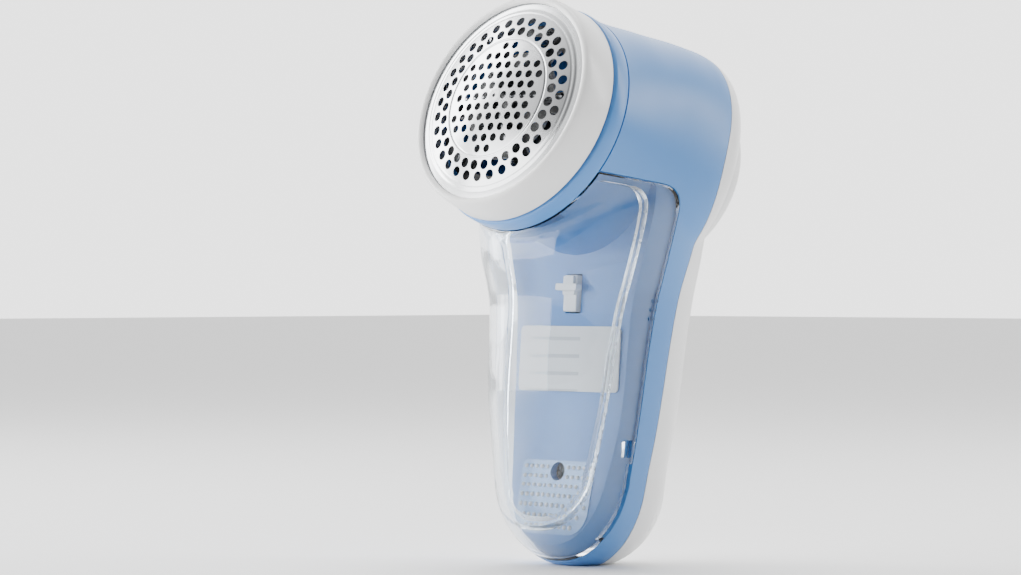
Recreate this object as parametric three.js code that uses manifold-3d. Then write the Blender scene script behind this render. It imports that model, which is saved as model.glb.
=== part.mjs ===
// Fabric shaver, in millimetres. +Z is up, the foil faces -Y and the object is symmetric about X = 0.
// The body is a handle that stands on its flat foot, joined to a barrel on a tilted axis.
import * as THREE from 'three';
import { mergeVertices } from 'three/addons/utils/BufferGeometryUtils.js';
import Module from 'manifold-3d';

const wasm = await Module();
wasm.setup();

// ---- driving dimensions ----
const GAP = 0.3; // clearance between neighbouring pieces
const WALL = 2.2; // shell thickness
const BIN_WALL = 1.7; // clear bin thickness
const HEAD_CENTRE = [0, -35, 127.1]; // centre of the foil's rim
const HEAD_TILT = 21.3; // degrees the foil looks up
const FOIL_RIM = 28.35; // radius of the foil's dome
const FOIL_RISE = 3.5; // height of the foil's dome
const FOIL_SHEET = 0.5; // foil thickness
const COLLAR = [9.9, 15]; // distances behind the foil's rim
const BARREL_START = 15.3;
const BULKHEAD_FRONT = 22;
const BULKHEAD_BACK = 24;
const MOTOR_FRONT = 27;
const MOTOR_LENGTH = 29;
const CHAMBER_RADIUS = 26.2; // inside of the cutter chamber
const INNER_BARREL_RADIUS = 28.2; // outside of the barrel under the bin
const BARREL_END = 64.5;
const WHEEL_RADIUS = 23.8; // cutter wheel
const BLADES = 6;
const SHAFT_RADIUS = 1;
const SIDES = 36; // facets round the body
const BOTTOM_ROUNDING = 22; // height of the handle's rounded lower end
const FOOT_START = 1.4; // how much of that rounding is cut away to give the flat foot
const CELL_RADIUS = 9.1;
const CELL_LENGTH = 50;
const CAP_RADIUS = 26.8; // round cover on the back of the head
const CAP_WALL = 1.8;
const CAP_LIFT = 5; // its middle above the head's axis
const COLLAR_RADII = [27, 32];
const LIP_RADIUS = 29.4; // the foil's flat rim outside its dome
const MOTOR_RADIUS = 12.2;
const MOTOR_NOSE = 3; // radius of the motor's front bearing
const MOUNT_RADIUS = 17;
const COUPLER_SQUARE = 3.3; // half width of the drive square
const SPRING = { radius: 7.6, wire: 0.35, turns: 4, low: -12.3, high: -6.6 };
const TEE = { arm: 4.5, stem: 2, top: 81, shoulder: 76, foot: 70 }; // half widths and heights of the latch's T
const LABEL = { halfWidth: 18.5, low: 48, high: 66, thickness: 0.4, standOff: 0.3 };
const SLOT_HALF_WIDTH = 2.4; // slot of the thumb switch
const THUMB_HALF = [6, 8.6]; // half width and half height of the thumb switch
const PAD_HALF = [8.5, 15]; // raised pad round it
const PORT_HALF = [5, 2.1]; // opening of the charging port
const LAMP_RADIUS = 1.5;
const BOARD_Y = 17.4; // front face of the circuit board
const BOARD_THICKNESS = 1.4;

const WHITE = '#eeeeee';
const BLUE = '#8fb2d6';
const STEEL = '#b9bcc0';
const DARK = '#2b2d30';

// Handle stations: height, centre Y, half width, half depth.
const HANDLE = [
  [0, -3.6, 20.9, 22.6],
  [22, -4.6, 20.8, 22.8],
  [36, -3.6, 22.2, 24.7],
  [48, -2.8, 22.9, 26.4],
  [60, -1.6, 23.4, 27.1],
  [74, 0, 24.5, 28],
  [86, 0, 27.6, 29.3],
  [98, 0.6, 30.4, 28.3],
  [108, 2, 30.8, 24.5],
];
// Barrel stations: distance behind the foil's rim, centre above the axis, half width, half height, squareness.
const BARREL = [
  [BARREL_START, 0, 32, 32, 2],
  [30, 1.4, 32.4, 33.4, 2.15],
  [50, 3.3, 33.4, 35.3, 2.35],
  [58, 4.4, 33.2, 34.8, 2.35],
  [62, 4.8, 31.6, 33.2, 2.25],
  [BARREL_END, 5, 28.4, 30, 2.2],
];
const HANDLE_SQUARENESS = 2.6;

// Half the size of a cutting solid that has to reach past the whole object.
const REACH = 200;

// ---- solids ----
function bare(geometry) {
  const copy = geometry.clone();
  for (const name of ['normal', 'uv']) if (copy.getAttribute(name)) copy.deleteAttribute(name);
  return mergeVertices(copy, 1e-4);
}

function signedVolume(geometry) {
  const position = geometry.getAttribute('position');
  const index = geometry.getIndex();
  const [a, b, c] = [new THREE.Vector3(), new THREE.Vector3(), new THREE.Vector3()];
  let sum = 0;
  for (let i = 0; i < index.count; i += 3) {
    a.fromBufferAttribute(position, index.getX(i));
    b.fromBufferAttribute(position, index.getX(i + 1));
    c.fromBufferAttribute(position, index.getX(i + 2));
    sum += a.dot(b.cross(c)) / 6;
  }
  return sum;
}

// A closed geometry as a manifold solid, with its faces turned outwards.
function solid(geometry) {
  const mesh = bare(geometry);
  const triangles = new Uint32Array(mesh.getIndex().array);
  if (signedVolume(mesh) < 0) {
    for (let i = 0; i < triangles.length; i += 3) {
      [triangles[i], triangles[i + 1]] = [triangles[i + 1], triangles[i]];
    }
  }
  const vertProperties = new Float32Array(mesh.getAttribute('position').array);
  return new wasm.Manifold(new wasm.Mesh({ numProp: 3, vertProperties, triVerts: triangles }));
}

function geometryOf(shape) {
  const mesh = shape.getMesh();
  const geometry = new THREE.BufferGeometry();
  geometry.setAttribute('position', new THREE.BufferAttribute(new Float32Array(mesh.vertProperties), 3));
  geometry.setIndex(new THREE.BufferAttribute(new Uint32Array(mesh.triVerts), 1));
  geometry.computeVertexNormals();
  return geometry;
}

function join(first, ...others) {
  return others.reduce((sum, other) => sum.add(other), first);
}

function cut(first, ...others) {
  return others.reduce((sum, other) => sum.subtract(other), first);
}

// ---- simple shapes, each along Z unless it says otherwise ----
function cylinder(radius, low, high, x = 0, y = 0, sides = 24) {
  const geometry = new THREE.CylinderGeometry(radius, radius, high - low, sides);
  geometry.rotateX(Math.PI / 2).translate(x, y, (low + high) / 2);
  return solid(geometry);
}

function box(low, high) {
  const size = high.map((value, i) => value - low[i]);
  const geometry = new THREE.BoxGeometry(...size);
  geometry.translate(...low.map((value, i) => value + size[i] / 2));
  return solid(geometry);
}

// A closed profile of [radius, height] turned about Z.
function turned(profile, sides = 40) {
  const points = profile.map(([radius, height]) => new THREE.Vector2(radius, height));
  return solid(new THREE.LatheGeometry(points, sides).rotateX(Math.PI / 2));
}

function ring(inner, outer, low, high, sides = 40) {
  return turned([[inner, low], [outer, low], [outer, high], [inner, high], [inner, low]], sides);
}

// A side outline of [y, z] points, extruded across the whole width.
function sideWedge(points, halfWidth = 60) {
  const shape = new THREE.Shape(points.map(([y, z]) => new THREE.Vector2(y, z)));
  const geometry = new THREE.ExtrudeGeometry(shape, { depth: 2 * halfWidth, bevelEnabled: false });
  // The shape's x becomes Y, its y becomes Z and its depth becomes X.
  const toSide = new THREE.Matrix4().makeBasis(
    new THREE.Vector3(0, 1, 0), new THREE.Vector3(0, 0, 1), new THREE.Vector3(1, 0, 0));
  return solid(geometry.applyMatrix4(toSide).translate(-halfWidth, 0, 0));
}

// A tube along a curve, closed at both ends.
function tube(curve, radius, steps, sides) {
  const section = new THREE.Shape();
  section.absarc(0, 0, radius, 0, 2 * Math.PI, false);
  const flat = new THREE.Shape(section.getPoints(sides / 2).slice(0, -1));
  return solid(new THREE.ExtrudeGeometry(flat, { steps, extrudePath: curve, curveSegments: 1 }));
}

// ---- frames ----
// The head's own frame: Z looks out of the foil, Y runs up across it, and its origin is the rim's centre.
const headMatrix = new THREE.Matrix4()
  .makeRotationX(THREE.MathUtils.degToRad(90 - HEAD_TILT))
  .setPosition(...HEAD_CENTRE);

function toBody(shape) {
  return shape.transform(headMatrix.elements);
}

// A point of the side view at a distance behind the rim and a height above the head's axis.
function headPoint(behind, above) {
  const point = new THREE.Vector3(0, above, -behind).applyMatrix4(headMatrix);
  return [point.y, point.z];
}

// ---- the body's outer form ----
function station(table, at) {
  const points = table.map((row) => row.slice(1));
  let i = 0;
  while (i < table.length - 2 && at > table[i + 1][0]) i += 1;
  const t = (at - table[i][0]) / (table[i + 1][0] - table[i][0]);
  const before = points[Math.max(i - 1, 0)];
  const after = points[Math.min(i + 2, points.length - 1)];
  return points[i].map((value, k) => {
    const next = points[i + 1][k];
    const out = (next - before[k]) / 2;
    const back = (after[k] - value) / 2;
    const [t2, t3] = [t * t, t * t * t];
    return value * (2 * t3 - 3 * t2 + 1) + out * (t3 - 2 * t2 + t)
      + next * (3 * t2 - 2 * t3) + back * (t3 - t2);
  });
}

function superPoint(angle, halfX, halfY, squareness) {
  const power = 2 / squareness;
  const [c, s] = [Math.cos(angle), Math.sin(angle)];
  return [Math.sign(c) * Math.abs(c) ** power * halfX, Math.sign(s) * Math.abs(s) ** power * halfY];
}

// A cylinder whose rings are moved to the sections that place() gives for a row number and an angle.
function loft(rows, place) {
  const geometry = bare(new THREE.CylinderGeometry(1, 1, rows, SIDES, rows));
  const position = geometry.getAttribute('position');
  for (let i = 0; i < position.count; i += 1) {
    const [x, z] = [position.getX(i), position.getZ(i)];
    const row = Math.round(position.getY(i) + rows / 2);
    const onAxis = Math.hypot(x, z) < 0.5;
    position.setXYZ(i, ...place(row, onAxis ? null : Math.atan2(z, x)));
  }
  return solid(geometry);
}

const HANDLE_HEIGHTS = [0, 1, 2.6, 5, 8.5, 13, 18, 24, 33, 43, 54, 65, 76, 87, 98, 108];

function handle(inset) {
  return loft(HANDLE_HEIGHTS.length - 1, (row, angle) => {
    const top = HANDLE_HEIGHTS.at(-1);
    const z = inset + HANDLE_HEIGHTS[row] * (top - inset) / top;
    const [centre, width, depth] = station(HANDLE, z);
    const fromTop = 1 - Math.min((z - inset) * (1 - FOOT_START / BOTTOM_ROUNDING) + FOOT_START, BOTTOM_ROUNDING)
      / BOTTOM_ROUNDING;
    const end = Math.sqrt(1 - fromTop * fromTop);
    if (angle === null) return [0, centre, z];
    const [x, y] = superPoint(angle, (width - inset) * end, (depth - inset) * end, HANDLE_SQUARENESS);
    return [x, centre + y, z];
  });
}

const BARREL_ROWS = [BARREL_START, 22, 30, 40, 50, 55, 58, 60, 62, 63.5, BARREL_END];

function barrel(inset, start = BARREL_START) {
  const shape = loft(BARREL_ROWS.length - 1, (row, angle) => {
    const behind = row === 0 ? start : Math.min(BARREL_ROWS[row], BARREL_END - inset);
    const at = BARREL_ROWS[row] > BARREL_END - inset ? BARREL_ROWS[row] : behind;
    const [centre, width, height, squareness] = station(BARREL, Math.max(at, BARREL_START));
    const back = behind + row * 1e-3;
    if (angle === null) return [0, centre, -back];
    const [x, y] = superPoint(angle, width - inset, height - inset, squareness);
    return [x, centre + y, -back];
  });
  return toBody(shape);
}

// The space behind the plane where the barrel meets the collar, and in front of it.
function behindPlane(distance) {
  return toBody(box([-REACH, -REACH, -REACH], [REACH, REACH, -distance]));
}

function outer(inset, extra = 0) {
  return join(handle(inset), barrel(inset)).intersect(behindPlane(BARREL_START + extra));
}

// ---- side-view regions ----
// The front shell's rear edge: up the handle and then square to the head's axis.
const SEAM_BEHIND = 55;
const seamTop = headPoint(SEAM_BEHIND, 60);
const seamBend = headPoint(SEAM_BEHIND, 0);
const SEAM_FOOT = [-5.5, -5];

function frontRegion(shift) {
  const line = [SEAM_FOOT, seamBend, seamTop].map(([y, z]) => [y - shift, z]);
  return sideWedge([...line, [-REACH, REACH], [-REACH, SEAM_FOOT[1]]]);
}

function rearRegion(shift) {
  const line = [SEAM_FOOT, seamBend, seamTop].map(([y, z]) => [y + shift, z]);
  return sideWedge([...line, [REACH, REACH], [REACH, SEAM_FOOT[1]]]);
}

// The bin's outline: down the seam at the side, then a chin edge square to the head's axis,
// so that the bin slides off straight down across the head.
const BIN_TOP = headPoint(BARREL_START, -15);
const BIN_CORNER = [[-3.5, 105.9], [0.6, 103.6], [2.9, 99.8]];
const BIN_SIDE = [[1.5, 77], [-2, 57], [-5, 37], [-7, 22]];
const CHIN_START = [-9.2, 14.5];
const CHIN_LENGTH = 30;
const CHIN_END = [
  CHIN_START[0] - CHIN_LENGTH * Math.sin(THREE.MathUtils.degToRad(HEAD_TILT)),
  CHIN_START[1] - CHIN_LENGTH * Math.cos(THREE.MathUtils.degToRad(HEAD_TILT)),
];

function binRegion(shrink) {
  const edge = [BIN_TOP, ...BIN_CORNER, ...BIN_SIDE, CHIN_START, CHIN_END];
  const front = headPoint(BARREL_START - 30, -8);
  return sideWedge([front, ...edge.map(([y, z], i) => [y - shrink, z - (i < 3 ? shrink : 0)]),
    [-REACH, CHIN_END[1]], [-REACH, front[1]]]);
}

// The panel behind the bin leans a little, and more below its bend: its Y for a height.
const PANEL_Y = -13;
const PANEL_LEAN = 0.08;
const PANEL_BEND = 40;
const TOE_LEAN = 0.23;

function panelY(z) {
  return PANEL_Y + PANEL_LEAN * Math.max(z, PANEL_BEND) - TOE_LEAN * Math.max(PANEL_BEND - z, 0);
}

function behindPanel(shift) {
  const line = [-20, PANEL_BEND, REACH].map((z) => [panelY(z) + shift, z]);
  return sideWedge([...line, [REACH, REACH], [REACH, -20]]);
}

const panelMatrix = new THREE.Matrix4().makeRotationX(-Math.atan(PANEL_LEAN));

// ---- fasteners, shared by several pieces ----
const HEAD_SCREWS = [[-16, 20], [16, 20]]; // across and above the head's axis
const HEAD_SCREW_SEAT = 62.8;
const PANEL_SCREW_HEIGHT = 26;
const SCREW_HEAD = 2.3;
const SCREW_SHANK = 1.2;
const SCREW_LENGTH = 9;
const SCREW_SINK = 2.8; // the seat behind the face of the panel
const BOSS_RADIUS = 4.4;
const BOSS_LENGTH = 6.5;
const TOWER_RADIUS = 4.2; // the rear shell's boss that the screw bites into

// A screw whose head sits at the origin and whose shank runs along -Z.
function screw() {
  const body = turned([[0, -SCREW_LENGTH], [SCREW_SHANK, 1 - SCREW_LENGTH], [SCREW_SHANK, 0], [SCREW_HEAD, 0],
    [SCREW_HEAD, 1.1], [SCREW_HEAD * 0.6, 1.6], [0, 1.6]], 16);
  const slot = join(box([-1.5, -0.25, 0.9], [1.5, 0.25, 3]), box([-0.25, -1.5, 0.9], [0.25, 1.5, 3]));
  return cut(body, slot);
}

// Points along -Y into the body from the panel.
const panelScrewMatrix = new THREE.Matrix4()
  .makeTranslation(0, panelY(PANEL_SCREW_HEIGHT) + SCREW_SINK, PANEL_SCREW_HEIGHT)
  .multiply(new THREE.Matrix4().makeRotationX(Math.PI / 2));

// ---- hollow spaces ----
const cavity = join(
  handle(WALL).intersect(behindPanel(WALL)),
  barrel(WALL).intersect(behindPlane(BULKHEAD_BACK))
    .subtract(binRegion(-WALL)),
  toBody(cylinder(CHAMBER_RADIUS, -52, -BULKHEAD_BACK, 0, 0, SIDES)),
);
const outerBody = outer(0);

const SWITCH_HEIGHT = 67; // thumb switch on the back of the handle
const SWITCH_LEAN = 9.6; // degrees the back leans there
const SWITCH_FACE = 0.9; // pad above the back
const SWITCH_TRAVEL = 8;
const SWITCH_REACH = 4.5; // half height of the slider's stem
const PORT_HEIGHT = 15;
const PORT_DEPTH = [8.4, 15.4];
const LAMP_HEIGHT = 48;

// ---- pieces of the housing ----
function frontShell() {
  const visible = outerBody.intersect(frontRegion(GAP / 2)).subtract(binRegion(0));
  const core = join(
    handle(BIN_WALL + 0.5).intersect(behindPanel(0)),
    toBody(cylinder(INNER_BARREL_RADIUS, -50, -BARREL_START, 0, 0, SIDES)),
  ).intersect(binRegion(0.001)).intersect(frontRegion(GAP / 2)).intersect(outer(0.2));
  const chamber = toBody(cylinder(CHAMBER_RADIUS, -BULKHEAD_FRONT, 0, 0, 0, SIDES));
  const shaftHole = toBody(cylinder(4.2, -BULKHEAD_BACK - 1, 0));
  const window = toBody(box([-13, -40, -21.4], [13, -10, -BARREL_START - 1.4]));
  const latchHole = tee(0.4, -6, 12).transform(panelMatrix.elements).translate([0, PANEL_Y, 0]);
  const screwHole = cylinder(SCREW_HEAD + GAP, -GAP, 14).transform(panelScrewMatrix.elements);
  const boss = cylinder(BOSS_RADIUS, -BOSS_LENGTH, SCREW_SINK - 1.3).transform(panelScrewMatrix.elements);
  const shankHole = cylinder(SCREW_SHANK + 0.2, -BOSS_LENGTH - 1, 2).transform(panelScrewMatrix.elements);
  const hollow = cut(join(visible, core), cavity, chamber, window, shaftHole);
  return cut(join(hollow, boss), latchHole, screwHole, shankHole).decompose()[0];
}

// The switch's own frame: its origin is on the back of the handle, Y points out and Z runs up the back.
const [switchCentre, , switchDepth] = station(HANDLE, SWITCH_HEIGHT);
const switchMatrix = new THREE.Matrix4()
  .makeTranslation(0, switchCentre + switchDepth, SWITCH_HEIGHT)
  .multiply(new THREE.Matrix4().makeRotationX(THREE.MathUtils.degToRad(-SWITCH_LEAN)));

function toSwitch(shape) {
  return shape.transform(switchMatrix.elements);
}

function rearShell() {
  const blank = outerBody.intersect(rearRegion(GAP / 2));
  const [padWidth, padHeight] = PAD_HALF;
  const pad = toSwitch(box([-padWidth, -3.2, -padHeight], [padWidth, SWITCH_FACE, padHeight]));
  const room = SWITCH_REACH + GAP + SWITCH_TRAVEL / 2;
  const slot = toSwitch(box([-SLOT_HALF_WIDTH, -12, -room], [SLOT_HALF_WIDTH, 10, room]));
  const [portWidth, portHalf] = PORT_HALF;
  const port = box([-portWidth, 5, PORT_HEIGHT - portHalf], [portWidth, 40, PORT_HEIGHT + portHalf]);
  const lamp = cylinder(LAMP_RADIUS + 0.4, 0, 40, 0, 0, 16).transform(backMatrix(0, 0, LAMP_HEIGHT));
  const screwTower = cylinder(TOWER_RADIUS, -30, -BOSS_LENGTH - GAP).transform(panelScrewMatrix.elements)
    .intersect(handle(0.8));
  const pilot = cylinder(SCREW_SHANK + 0.2, -14, -6).transform(panelScrewMatrix.elements);
  const headHoles = HEAD_SCREWS.map(([x, y]) => toBody(join(
    cylinder(SCREW_SHANK + 0.2, -70, -50, x, y),
    cylinder(SCREW_HEAD + GAP, -70, GAP - HEAD_SCREW_SEAT, x, y),
  )));
  const shell = join(cut(blank, cavity), pad, screwTower);
  return cut(shell, slot, port, lamp, pilot, ...headHoles).decompose()[0];
}

// Turns a piece that is built along Z so that it points out of the back.
function backMatrix(x, y, z) {
  return new THREE.Matrix4().makeTranslation(x, y, z)
    .multiply(new THREE.Matrix4().makeRotationX(-Math.PI / 2)).elements;
}

function rearCap() {
  const crown = [[CAP_RADIUS, -67], [25.6, -69.6], [22.4, -71.6], [16, -72.8], [8, -73.3], [0, -73.5]];
  const under = crown.map(([radius, height]) => [Math.max(radius - CAP_WALL, 0), height + CAP_WALL]).reverse();
  const inside = [CAP_RADIUS - CAP_WALL, -BARREL_END - 0.5];
  const profile = [inside, [CAP_RADIUS, inside[1]], ...crown, ...under, inside];
  const dome = toBody(turned(profile, SIDES).translate([0, CAP_LIFT, 0]));
  return dome.subtract(handle(-GAP)).decompose()[0];
}

function headCollar() {
  const [front, back] = COLLAR;
  const [inner, outside] = COLLAR_RADII;
  return turned([[inner, -back], [outside, -back], [outside, -front - 0.4], [outside - 0.4, -front],
    [inner, -front], [inner, -back]], 48);
}

// ---- bin ----
function lintBin() {
  const shell = cut(outer(0, GAP).intersect(binRegion(GAP)), handle(BIN_WALL), toBody(
    cylinder(COLLAR_RADII[1] - BIN_WALL, -60, 0, 0, 0, SIDES)));
  return shell.decompose().sort((a, b) => b.volume() - a.volume())[0];
}

// A T outline for the bin's latch, extruded along Y from a depth to a depth.
function tee(grow, low, high) {
  const shape = new THREE.Shape();
  const [arm, stem, top] = [TEE.arm + grow, TEE.stem + grow, TEE.top + grow];
  const [shoulder, foot] = [TEE.shoulder - grow, TEE.foot - grow];
  const outline = [[-stem, foot], [stem, foot], [stem, shoulder], [arm, shoulder], [arm, top], [-arm, top],
    [-arm, shoulder], [-stem, shoulder]];
  outline.forEach(([x, z], i) => (i === 0 ? shape.moveTo(x, z) : shape.lineTo(x, z)));
  const geometry = new THREE.ExtrudeGeometry(shape, { depth: high - low, bevelEnabled: false });
  // The outline's height stays Z and the depth runs towards -Y.
  geometry.rotateX(Math.PI / 2).translate(0, high, 0);
  return solid(geometry);
}

function binLatch() {
  const face = tee(0, -1.5, 2.6);
  const flange = box([-TEE.arm - 1.5, 2.5, TEE.foot - 1], [TEE.arm + 1.5, 3.3, TEE.top + 1]);
  return join(face, flange).transform(panelMatrix.elements).translate([0, PANEL_Y, 0]);
}

function latchSpring() {
  const points = [[4.5, 71], [4.12, 75.5], [4.5, 80]];
  const line = [...points, ...points.map(([y, z]) => [y + 0.2, z]).reverse()];
  return sideWedge(line, 2).transform(panelMatrix.elements).translate([0, PANEL_Y, 0]);
}

function labelPlate() {
  const { halfWidth, low, high, thickness, standOff } = LABEL;
  const plate = box([-halfWidth, -standOff - thickness, low], [halfWidth, -standOff, high]);
  return plate.transform(panelMatrix.elements).translate([0, PANEL_Y, 0]);
}

// ---- foil and cutter, in the head's frame ----
function domeHeight(radius) {
  const sphere = (FOIL_RIM ** 2 + FOIL_RISE ** 2) / (2 * FOIL_RISE);
  return FOIL_RISE - sphere + Math.sqrt(sphere ** 2 - radius ** 2);
}

function foil() {
  const radii = [0, 5, 10, 15, 20, 24, FOIL_RIM];
  const top = radii.map((radius) => [radius, domeHeight(radius)]);
  const under = radii.slice(0, -1).reverse().map((radius) => [radius, domeHeight(radius) - FOIL_SHEET]);
  return turned([...top, [LIP_RADIUS, 0], [LIP_RADIUS, -FOIL_SHEET], [FOIL_RIM, -FOIL_SHEET], ...under], 48);
}

function foilRing() {
  return turned([[28.7, 0.3], [28.9, 0.9], [29.6, 1.1], [30.4, 0.7], [30.9, -0.2], [31.55, -9.3], [30.1, -9.3],
    [29.9, 0.3], [28.7, 0.3]], 48);
}

function foilCarrier() {
  const [inner, outside, top, foot] = [26.4, 29.5, -0.8, -9.2];
  return turned([[inner, top], [outside, top], [outside, foot], [outside - 1.2, foot], [outside - 1.2, -3],
    [inner, -1.6], [inner, top]], 48);
}

const WHEEL_TOP = -3.3;
const WHEEL_BACK = -4.5;

function kidneyWindow(at) {
  const [inner, outerRadius, half] = [15.6, 20.8, 0.36];
  const hole = new THREE.Path();
  hole.absarc(0, 0, outerRadius, at - half, at + half, false);
  hole.absarc(0, 0, inner, at + half, at - half, true);
  hole.closePath();
  return hole;
}

function cutterHub() {
  const disc = new THREE.Shape();
  disc.absarc(0, 0, WHEEL_RADIUS, 0, 2 * Math.PI, false);
  for (let i = 0; i < BLADES; i += 1) disc.holes.push(kidneyWindow((i + 0.5) * 2 * Math.PI / BLADES));
  const flat = { depth: WHEEL_TOP - WHEEL_BACK, bevelEnabled: false, curveSegments: 12 };
  const wheel = solid(new THREE.ExtrudeGeometry(disc, flat).translate(0, 0, WHEEL_BACK));
  const boss = cylinder(6, -10, WHEEL_BACK + 0.2);
  const nose = cylinder(2.6, WHEEL_TOP - 0.2, -1.2, 0, 0, 8);
  const room = COUPLER_SQUARE + GAP;
  const socket = box([-room, -room, -11], [room, room, -5.2]);
  const lugs = [];
  for (let i = 0; i < BLADES; i += 1) {
    for (const reach of [5.4, 17.4]) {
      const lug = box([reach, 0.6, WHEEL_TOP - 0.2], [reach + 3, 1.9, -1.3]);
      lugs.push(lug.rotate([0, 0, i * 360 / BLADES]));
    }
  }
  return cut(join(wheel, boss, nose, ...lugs), socket);
}

// One upright steel blade along +X, with an arched top edge close under the foil.
function blade(number) {
  const [start, end, thickness, under] = [3.4, 22.8, 0.5, FOIL_SHEET + 0.35];
  const shape = new THREE.Shape();
  shape.moveTo(start, -3);
  shape.lineTo(end, -3);
  for (const radius of [end, 17, 11, start]) shape.lineTo(radius, domeHeight(radius) - under);
  shape.closePath();
  const geometry = new THREE.ExtrudeGeometry(shape, { depth: thickness, bevelEnabled: false });
  geometry.rotateX(Math.PI / 2).translate(0, thickness / 2, 0);
  return solid(geometry).rotate([0, 0, number * 360 / BLADES]);
}

function cutterSpring() {
  const { radius, wire, turns, low, high } = SPRING;
  class Helix extends THREE.Curve {
    getPoint(t, target = new THREE.Vector3()) {
      const angle = t * turns * 2 * Math.PI;
      return target.set(radius * Math.cos(angle), radius * Math.sin(angle), low + t * (high - low));
    }
  }
  return tube(new Helix(), wire, turns * 14, 6);
}

function driveCoupler() {
  const flange = cylinder(9, -14, -12.9);
  const square = box([-COUPLER_SQUARE, -COUPLER_SQUARE, -13.2], [COUPLER_SQUARE, COUPLER_SQUARE, -6.9]);
  return cut(join(flange, square), cylinder(SHAFT_RADIUS + GAP, -15, -9.4, 0, 0, 16));
}

function motorShaft() {
  return cylinder(SHAFT_RADIUS, -MOTOR_FRONT - MOTOR_LENGTH - 1.6, -9.8, 0, 0, 16);
}

function motorBody() {
  const back = -MOTOR_FRONT - MOTOR_LENGTH;
  const can = cylinder(MOTOR_RADIUS, back, -MOTOR_FRONT, 0, 0, 32);
  const nose = cylinder(MOTOR_NOSE, -MOTOR_FRONT - 0.2, 1.4 - MOTOR_FRONT, 0, 0, 20);
  return cut(join(can, nose), cylinder(SHAFT_RADIUS + GAP, back - 1, 0, 0, 0, 16));
}

function motorMount() {
  const plate = cylinder(MOUNT_RADIUS, -MOTOR_FRONT + GAP, -BULKHEAD_BACK - GAP, 0, 0, 32);
  const skirt = ring(MOTOR_RADIUS + 0.4, MOTOR_RADIUS + 1.8, -40, -MOTOR_FRONT + GAP + 0.2, 32);
  return cut(join(plate, skirt), cylinder(MOTOR_NOSE + 0.4, -30, -20, 0, 0, 20));
}

function shaftSeal() {
  return ring(SHAFT_RADIUS + GAP, 3.8, GAP - BULKHEAD_BACK, -BULKHEAD_FRONT - GAP, 20);
}

// ---- inside the handle ----
const CELL_AT = [-7.6, 7.8, 36.5];

function batteryCell() {
  const [x, y, z] = CELL_AT;
  return join(cylinder(CELL_RADIUS, z, z + CELL_LENGTH, x, y, 28),
    cylinder(3, z + CELL_LENGTH - 0.2, z + CELL_LENGTH + 1.2, x, y, 16));
}

function batteryHolder() {
  const [x, y, z] = CELL_AT;
  const reach = CELL_RADIUS + 1.5;
  const block = box([x - reach + 1, y - reach + 1.2, z - 1.8], [x + reach - 0.4, y + 2, z + CELL_LENGTH + 3.4]);
  const room = join(cylinder(CELL_RADIUS + GAP, z - GAP, z + CELL_LENGTH + 1.6, x, y, 28),
    box([x - CELL_RADIUS - GAP, y, z - GAP], [x + CELL_RADIUS + GAP, y + 20, z + CELL_LENGTH + 1.6]));
  return cut(block, room).intersect(handle(WALL + GAP)).decompose()[0];
}

function circuitBoard() {
  const board = box([-12, BOARD_Y, 12], [12, BOARD_Y + BOARD_THICKNESS, 96]);
  return board.intersect(handle(WALL + 0.8));
}

function slideSwitch() {
  const low = BOARD_Y + BOARD_THICKNESS + GAP;
  return box([-4.5, low, SWITCH_HEIGHT - 10], [4.5, low + 1.6, SWITCH_HEIGHT + 10]);
}

function switchSlider() {
  const face = SWITCH_FACE + GAP;
  const [width, half] = THUMB_HALF;
  const down = -SWITCH_TRAVEL / 2;
  const stemWidth = SLOT_HALF_WIDTH - GAP;
  const stem = box([-stemWidth, -3.6, down - SWITCH_REACH], [stemWidth, face + 0.2, down + SWITCH_REACH]);
  const thumb = box([-width, face, down - half], [width, face + 1.3, down + half]);
  const ribs = [-2, -1, 0, 1, 2].map((i) => {
    const middle = down + i * 3;
    return box([-4.6, face + 1.1, middle - 0.6], [4.6, face + 2, middle + 0.6]);
  });
  return toSwitch(join(thumb, stem, ...ribs));
}

function usbSocket() {
  const [inside, mouth] = PORT_DEPTH;
  const can = box([-4.45, inside, PORT_HEIGHT - 1.6], [4.45, mouth, PORT_HEIGHT + 1.6]);
  const hollow = box([-4.1, inside + 1, PORT_HEIGHT - 1.25], [4.1, mouth + 1, PORT_HEIGHT + 1.25]);
  const tongue = box([-3.3, inside + 0.8, PORT_HEIGHT - 0.35], [3.3, mouth - 1, PORT_HEIGHT + 0.35]);
  return join(cut(can, hollow), tongue);
}

function chargeBoard() {
  const low = PORT_HEIGHT + 1.6 + GAP;
  return box([-8, 1, low], [8, PORT_DEPTH[1] - 2.5, low + 1.2]).intersect(handle(WALL + GAP));
}

function indicatorLens() {
  return cylinder(LAMP_RADIUS, BOARD_Y + 2, 24, 0, 0, 16).transform(backMatrix(0, 0, LAMP_HEIGHT));
}

function safetySwitch() {
  return toBody(box([-5, 19.4, -36], [5, 24.4, -BULKHEAD_BACK - GAP]));
}

// ---- assembly ----
function material(color, roughness, metalness = 0, opacity = 1) {
  return new THREE.MeshStandardMaterial({ color, roughness, metalness, opacity, transparent: opacity < 1 });
}

const shaver = new THREE.Group();
const head = new THREE.Group();
head.applyMatrix4(headMatrix);
shaver.add(head);

function place(group, name, shape, finish) {
  const mesh = new THREE.Mesh(geometryOf(shape), finish);
  mesh.name = name;
  group.add(mesh);
}

const white = material(WHITE, 0.35);
const blue = material(BLUE, 0.4);
const steel = material(STEEL, 0.3, 1);
const dark = material(DARK, 0.6);
const clear = material('#dce9f5', 0.08, 0, 0.35);

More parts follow.
